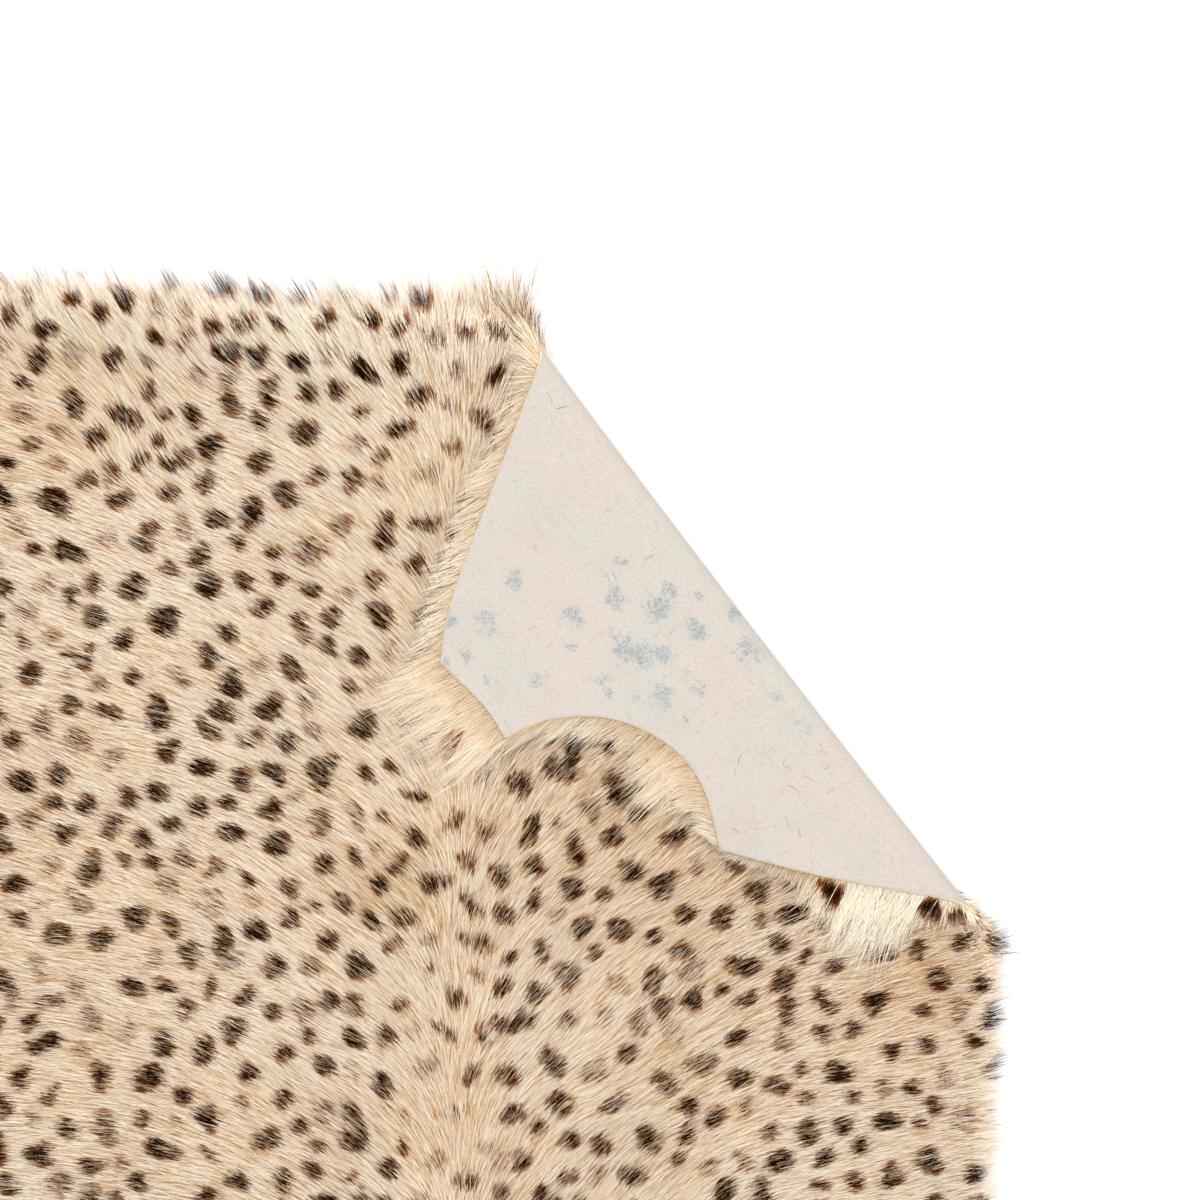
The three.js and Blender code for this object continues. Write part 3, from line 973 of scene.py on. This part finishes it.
def make_skin():
    inner = skin_points()
    flat = np.concatenate([rim, inner])
    ring = len(rim)
    edges = [(i, (i + 1) % ring) for i in range(ring)]
    verts, _, faces, *_ = delaunay_2d_cdt([Vector(p) for p in flat], edges, [], 1, 1e-7)
    flat = np.array([tuple(v) for v in verts])
    faces = np.array(faces)
    corner = flat[faces]
    area = np.cross(corner[:, 1] - corner[:, 0], corner[:, 2] - corner[:, 0]) / 2.0
    faces = np.where((area > 0)[:, None], faces, faces[:, ::-1])
    ripple = flap_ripple(flat)
    flesh_flat = flat - outward(flat) * (EDGE_BEVEL * (inside_by(flat) < 0.0012))[:, None]
    flesh = folded(flesh_flat, -ripple)
    hair = folded(flat, LEATHER - ripple)
    above = len(flat)
    edge_list = np.concatenate([faces[:, [0, 1]], faces[:, [1, 2]], faces[:, [2, 0]]])
    keys = {(a, b) for a, b in edge_list.tolist()}
    open_edges = np.array([(a, b) for a, b in edge_list.tolist() if (b, a) not in keys])
    a, b = open_edges.T
    walls = np.concatenate([
        np.column_stack([a, b, b + above]),
        np.column_stack([a, b + above, a + above]),
    ])
    points = np.concatenate([flesh, hair])
    triangles = np.concatenate([faces[:, ::-1], faces + above, walls])
    slots = np.repeat([0, 1, 2], [len(faces), len(faces), len(walls)])
    mesh = bpy.data.meshes.new("skin")
    mesh.from_pydata(points.tolist(), [], triangles.tolist())
    mesh.polygons.foreach_set("material_index", slots)
    mesh.polygons.foreach_set("use_smooth", np.ones(len(slots), dtype=bool))
    for material in (suede_material(), root_colour_and_shade_material(), cut_edge_material()):
        mesh.materials.append(material)
    on_flap = to_fold(flat)[1] > 0.5 * BEND_LENGTH
    for name, rows in (("stain", STAINS), ("scuff", SCUFFS)):
        patches = mesh.attributes.new(name, "FLOAT", "POINT")
        strength = np.concatenate([patchy(flesh, rows) * on_flap, np.zeros(above)])
        patches.data.foreach_set("value", strength)
    lay_out_skin(mesh, np.tile(flat, (2, 1)), slots)
    mesh.validate()
    skin = bpy.data.objects.new("skin", mesh)
    bpy.context.collection.objects.link(skin)
    return skin, np.abs(area).sum()


def lay_out_skin(mesh, flat, slots):
    """The flat hide as the sheet's own map, flesh side on the left and hair side on the right."""
    low, high = flat.min(axis=0), flat.max(axis=0)
    place = 0.01 + 0.98 * (flat - low) / (high - low)
    corner = np.empty(len(mesh.loops), dtype=int)
    mesh.loops.foreach_get("vertex_index", corner)
    side = np.repeat(np.where(slots == 0, 0.0, 0.5), 3)
    layer = mesh.uv_layers.new(name="OFBake")
    across = place[corner, 0] * 0.5 + side
    layer.data.foreach_set("uv", np.column_stack([across, place[corner, 1]]).ravel())


# Hair strands

HAIR_INPUTS = [
    ("Hair width", "NodeSocketFloat", HAIR_WIDTH),
    ("Tip share", "NodeSocketFloat", 0.10),
    ("Width spread", "NodeSocketFloat", 0.35),
    ("Roll", "NodeSocketFloat", 0.6),
    ("Seed", "NodeSocketInt", SEED),
]
STRAND_VALUES = ["tone", "dye", "start", "end"]


def hair_tree():
    """Turns runs of edges into tapered strands that lie flat and carry a map of the flat hide."""
    tree = bpy.data.node_groups.new("hair_strands", "GeometryNodeTree")
    face = tree.interface
    face.new_socket("Geometry", in_out="INPUT", socket_type="NodeSocketGeometry")
    face.new_socket("Geometry", in_out="OUTPUT", socket_type="NodeSocketGeometry")
    for name, kind, value in HAIR_INPUTS:
        face.new_socket(name, in_out="INPUT", socket_type=kind).default_value = value
    face.new_socket("Finish", in_out="INPUT", socket_type="NodeSocketMaterial")
    nodes, links = tree.nodes, tree.links
    given = nodes.new("NodeGroupInput").outputs

    def node(kind, **values):
        made = nodes.new(kind)
        for key, value in values.items():
            setattr(made, key, value)
        return made

    def math_node(operation, *values):
        made = node("ShaderNodeMath", operation=operation)
        for socket, value in zip(made.inputs, values):
            if isinstance(value, (int, float)):
                socket.default_value = value
            else:
                links.new(value, socket)
        return made.outputs[0]

    def each_strand(low, high, extra_seed):
        """A value of its own for every strand."""
        pick = node("FunctionNodeRandomValue", data_type="FLOAT")
        for socket, value in ((pick.inputs[2], low), (pick.inputs[3], high)):
            links.new(value, socket)
        links.new(math_node("ADD", given["Seed"], extra_seed), pick.inputs["Seed"])
        whole = node("GeometryNodeFieldOnDomain", domain="CURVE", data_type="FLOAT")
        links.new(pick.outputs[1], whole.inputs["Value"])
        return whole.outputs["Value"]

    def stored(name, kind):
        read = node("GeometryNodeInputNamedAttribute", data_type=kind)
        read.inputs["Name"].default_value = name
        return read.outputs["Attribute"]

    def store(geometry, name, kind, domain, value):
        write = node("GeometryNodeStoreNamedAttribute", data_type=kind, domain=domain)
        write.inputs["Name"].default_value = name
        links.new(geometry, write.inputs["Geometry"])
        links.new(value, write.inputs["Value"])
        return write.outputs["Geometry"]

    strands = node("GeometryNodeMeshToCurve")
    links.new(given["Geometry"], strands.inputs["Mesh"])
    level = node("GeometryNodeSetCurveNormal", mode="Z_UP")
    links.new(strands.outputs["Curve"], level.inputs["Curve"])
    tilt = node("GeometryNodeSetCurveTilt")
    links.new(level.outputs["Curve"], tilt.inputs["Curve"])
    roll = each_strand(math_node("MULTIPLY", given["Roll"], -1.0), given["Roll"], 0)
    links.new(roll, tilt.inputs["Tilt"])

    along = node("GeometryNodeSplineParameter").outputs["Factor"]
    thinning = math_node("SUBTRACT", 1.0, math_node("POWER", along, 2.5))
    taper = math_node(
        "MULTIPLY_ADD", thinning, math_node("SUBTRACT", 1.0, given["Tip share"]), given["Tip share"]
    )
    spread = each_strand(
        math_node("SUBTRACT", 1.0, given["Width spread"]), math_node("ADD", 1.0, given["Width spread"]), 1
    )
    width = math_node("MULTIPLY", math_node("MULTIPLY", given["Hair width"], spread), taper)

    profile = node("GeometryNodeCurvePrimitiveLine")
    profile.inputs["Start"].default_value = (-0.5, 0.0, 0.0)
    profile.inputs["End"].default_value = (0.5, 0.0, 0.0)
    across = node("GeometryNodeSplineParameter").outputs["Factor"]
    sided = store(profile.outputs["Curve"], "side", "FLOAT", "POINT", across)
    measured = store(tilt.outputs["Curve"], "along", "FLOAT", "POINT", along)

    solid = node("GeometryNodeCurveToMesh")
    links.new(measured, solid.inputs["Curve"])
    links.new(sided, solid.inputs["Profile Curve"])
    links.new(width, solid.inputs["Scale"])

    aside = node("ShaderNodeVectorMath", operation="SCALE")
    links.new(stored("flat_side", "FLOAT_VECTOR"), aside.inputs["Vector"])
    links.new(math_node("SUBTRACT", stored("side", "FLOAT"), 0.5), aside.inputs["Scale"])
    mapped = node("ShaderNodeVectorMath", operation="ADD")
    links.new(stored("flat", "FLOAT_VECTOR"), mapped.inputs[0])
    links.new(aside.outputs["Vector"], mapped.inputs[1])
    made = store(solid.outputs["Mesh"], "OFBake", "FLOAT2", "CORNER", mapped.outputs["Vector"])
    for name in ("side", "flat", "flat_side"):
        dropped = node("GeometryNodeRemoveAttribute")
        dropped.inputs["Name"].default_value = name
        links.new(made, dropped.inputs["Geometry"])
        made = dropped.outputs["Geometry"]

    rounded = node("GeometryNodeSetShadeSmooth")
    links.new(made, rounded.inputs["Geometry"])
    real = node("GeometryNodeRealizeInstances")
    links.new(rounded.outputs["Geometry"], real.inputs["Geometry"])
    finish = node("GeometryNodeSetMaterial")
    links.new(real.outputs["Geometry"], finish.inputs["Geometry"])
    links.new(given["Finish"], finish.inputs["Material"])
    links.new(finish.outputs["Geometry"], node("NodeGroupOutput").inputs["Geometry"])
    return tree


def guide_mesh(name, hair, chosen):
    """The chosen strands as runs of edges that hold their shade, dye and place on the flat hide."""
    flat, stations = hair.flat[chosen], hair.stations[chosen]
    count, steps = stations.shape[:2]
    mesh = bpy.data.meshes.new(name)
    mesh.vertices.add(count * steps)
    mesh.vertices.foreach_set("co", stations.ravel())
    first = (np.arange(count)[:, None] * steps + np.arange(steps - 1)).ravel()
    mesh.edges.add(len(first))
    mesh.edges.foreach_set("vertices", np.column_stack([first, first + 1]).ravel())
    for label in STRAND_VALUES:
        value = mesh.attributes.new(label, "FLOAT", "POINT")
        value.data.foreach_set("value", np.repeat(getattr(hair, label)[chosen], steps))
    low, high = flat.min(axis=(0, 1)), flat.max(axis=(0, 1))
    scale = 0.98 / (high - low)
    heading = unit(flat[:, -1] - flat[:, 0])
    side = HAIR_WIDTH * np.column_stack([-heading[:, 1], heading[:, 0]]) * scale
    maps = {"flat": 0.01 + (flat - low) * scale, "flat_side": np.repeat(side, steps, axis=0)}
    for label, values in maps.items():
        place = mesh.attributes.new(label, "FLOAT_VECTOR", "POINT")
        values = values.reshape(-1, 2)
        place.data.foreach_set("vector", np.column_stack([values, np.zeros(len(values))]).ravel())
    return mesh


def make_hair(name, hair, chosen, tree, finish, width=HAIR_WIDTH):
    ids = {item.name: item.identifier for item in tree.interface.items_tree if item.in_out == "INPUT"}
    guide = bpy.data.objects.new(name + "_guide", guide_mesh(name + "_guide", hair, chosen))
    bpy.context.collection.objects.link(guide)
    modifier = guide.modifiers.new("strands", "NODES")
    modifier.node_group = tree
    for label, _, value in HAIR_INPUTS:
        modifier[ids[label]] = value
    modifier[ids["Hair width"]] = width
    modifier[ids["Finish"]] = finish
    ready = guide.evaluated_get(bpy.context.evaluated_depsgraph_get())
    mesh = bpy.data.meshes.new_from_object(ready)
    mesh.name = name
    bpy.data.objects.remove(guide)
    piece = bpy.data.objects.new(name, mesh)
    bpy.context.collection.objects.link(piece)
    return piece


def unfolded(places):
    """Points of the flat hide that lie at places on the turned-back corner, seen from above."""
    offset = places - fold_start
    along = offset @ fold_along
    reach = offset @ fold_out
    past = BEND_LENGTH - reach - 2.0 * hollow(along)
    return fold_start + np.outer(along, fold_along) + np.outer(past, fold_out)


def loose_hairs(rng):
    """Short curved hairs that lie on the flesh side of the turned-back corner."""
    centre = np.concatenate([np.tile([row.across, row.up], (row.count, 1)) for row in LOOSE_HAIRS])
    spread = np.concatenate([np.full(row.count, row.spread) for row in LOOSE_HAIRS])
    count = len(centre)
    place = centre + rng.normal(0.0, 1.0, (count, 2)) * spread[:, None]
    angle = rng.uniform(0.0, 2.0 * math.pi, count)
    curl = rng.normal(0.0, 0.18, count)
    step = rng.uniform(0.003, 0.011, count) / LOOSE_HAIR_STEPS
    places = [place]
    for _ in range(LOOSE_HAIR_STEPS):
        angle = angle + curl + rng.normal(0.0, 0.15, count)
        places.append(places[-1] + step[:, None] * np.column_stack([np.cos(angle), np.sin(angle)]))
    flat = [unfolded(place) for place in places]
    stations = np.stack([folded(place, -flap_ripple(place) - 0.0002) for place in flat], axis=1)
    flat = np.stack(flat, axis=1)
    dye = rng.uniform(0.30, 0.60, count)
    inside = inside_by(flat.reshape(-1, 2)).reshape(count, -1).min(axis=1) > 0.002
    kept = inside & (to_fold(flat[:, 0])[1] > BEND_LENGTH)
    rows = Hair(flat, stations, np.full(count, 0.8), dye, np.full(count, -1.0), np.full(count, 2.0))
    return Hair(*(values[kept] for values in rows))


def make_coat(rng, spots):
    """All the hair: the coat inside the rim, the fringe along it, and the fringe of the flap."""
    tree, finish = hair_tree(), hair_material()
    roots = scatter_roots(rng)
    roots = roots[np.argsort(roots[:, 1])]
    along_rim = inside_by(roots) < FRINGE_BAND
    on_flap = turned_share(roots) > 0.05
    coat = lay_hair(rng, roots[~along_rim], 2, spots)
    pieces = []
    for name, chosen in zip(COAT_PIECES, np.array_split(np.arange(len(coat.tone)), len(COAT_PIECES))):
        pieces.append(make_hair(name, coat, chosen, tree, finish))
    for name, chosen, steps in (
        ("hair_fringe", along_rim & ~on_flap, 2),
        ("hair_flap_fringe", along_rim & on_flap, 3),
    ):
        fringe = lay_hair(rng, roots[chosen], steps, spots)
        pieces.append(make_hair(name, fringe, np.arange(len(fringe.tone)), tree, finish))
    loose = loose_hairs(rng)
    chosen = np.arange(len(loose.tone))
    pieces.append(make_hair("loose_hairs", loose, chosen, tree, finish, LOOSE_HAIR_WIDTH))
    return pieces


# Rug

rng = np.random.default_rng(SEED)
skin, flat_area = make_skin()
prints = Prints(print_charts(scatter_spots(rng)), print_charts(fringe_marks(rng)))
hair_pieces = make_coat(rng, prints)

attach(skin, "root")
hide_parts("goatskin")
for piece in hair_pieces:
    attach(piece, "root")

# Floor, light and camera

PIXEL = 0.00054
PHOTO_SIZE = 1200
SPINE_PIXEL_X = 430
RUMP_PIXEL_Y = 340
CAMERA_HEIGHT = 2.2


def make_floor():
    mesh = bpy.data.meshes.new("floor")
    half = 6.0
    below = -0.0005
    corners = [(-half, -half, below), (half, -half, below), (half, half, below), (-half, half, below)]
    mesh.from_pydata(corners, [], [(0, 1, 2, 3)])
    material, _, _, shader = new_material("pale_floor")
    shader.inputs["Base Color"].default_value = (0.9, 0.9, 0.9, 1.0)
    shader.inputs["Roughness"].default_value = 0.9
    mesh.materials.append(material)
    floor = bpy.data.objects.new("floor", mesh)
    bpy.context.collection.objects.link(floor)


def make_light(name, size, power, location, target):
    light = bpy.data.lights.new(name, "AREA")
    light.size = size
    light.energy = power
    lamp = bpy.data.objects.new(name, light)
    lamp.location = location
    lamp.rotation_euler = (Vector(target) - Vector(location)).to_track_quat("-Z", "Y").to_euler()
    bpy.context.collection.objects.link(lamp)


def make_camera():
    middle = PHOTO_SIZE / 2
    camera = bpy.data.cameras.new("camera")
    camera.sensor_width = 36.0
    camera.lens = camera.sensor_width * CAMERA_HEIGHT / (PHOTO_SIZE * PIXEL)
    camera.clip_end = 50.0
    eye = bpy.data.objects.new("camera", camera)
    eye.location = (
        (middle - SPINE_PIXEL_X) * PIXEL,
        RUMP_Y - (middle - RUMP_PIXEL_Y) * PIXEL,
        CAMERA_HEIGHT + PILE,
    )
    bpy.context.collection.objects.link(eye)
    bpy.context.scene.camera = eye


make_floor()
make_light("overhead", 2.5, 43.0, (-0.2, 1.3, 2.4), (0.0, 0.1, 0.0))
make_light("fill", 3.0, 21.0, (1.6, -0.9, 2.2), (0.0, 0.0, 0.0))
make_camera()

world = bpy.data.worlds.new("studio")
world.use_nodes = True
world.node_tree.nodes["Background"].inputs["Color"].default_value = (1.0, 1.0, 1.0, 1.0)
world.node_tree.nodes["Background"].inputs["Strength"].default_value = 0.76
bpy.context.scene.world = world
bpy.context.scene.view_settings.view_transform = "Standard"
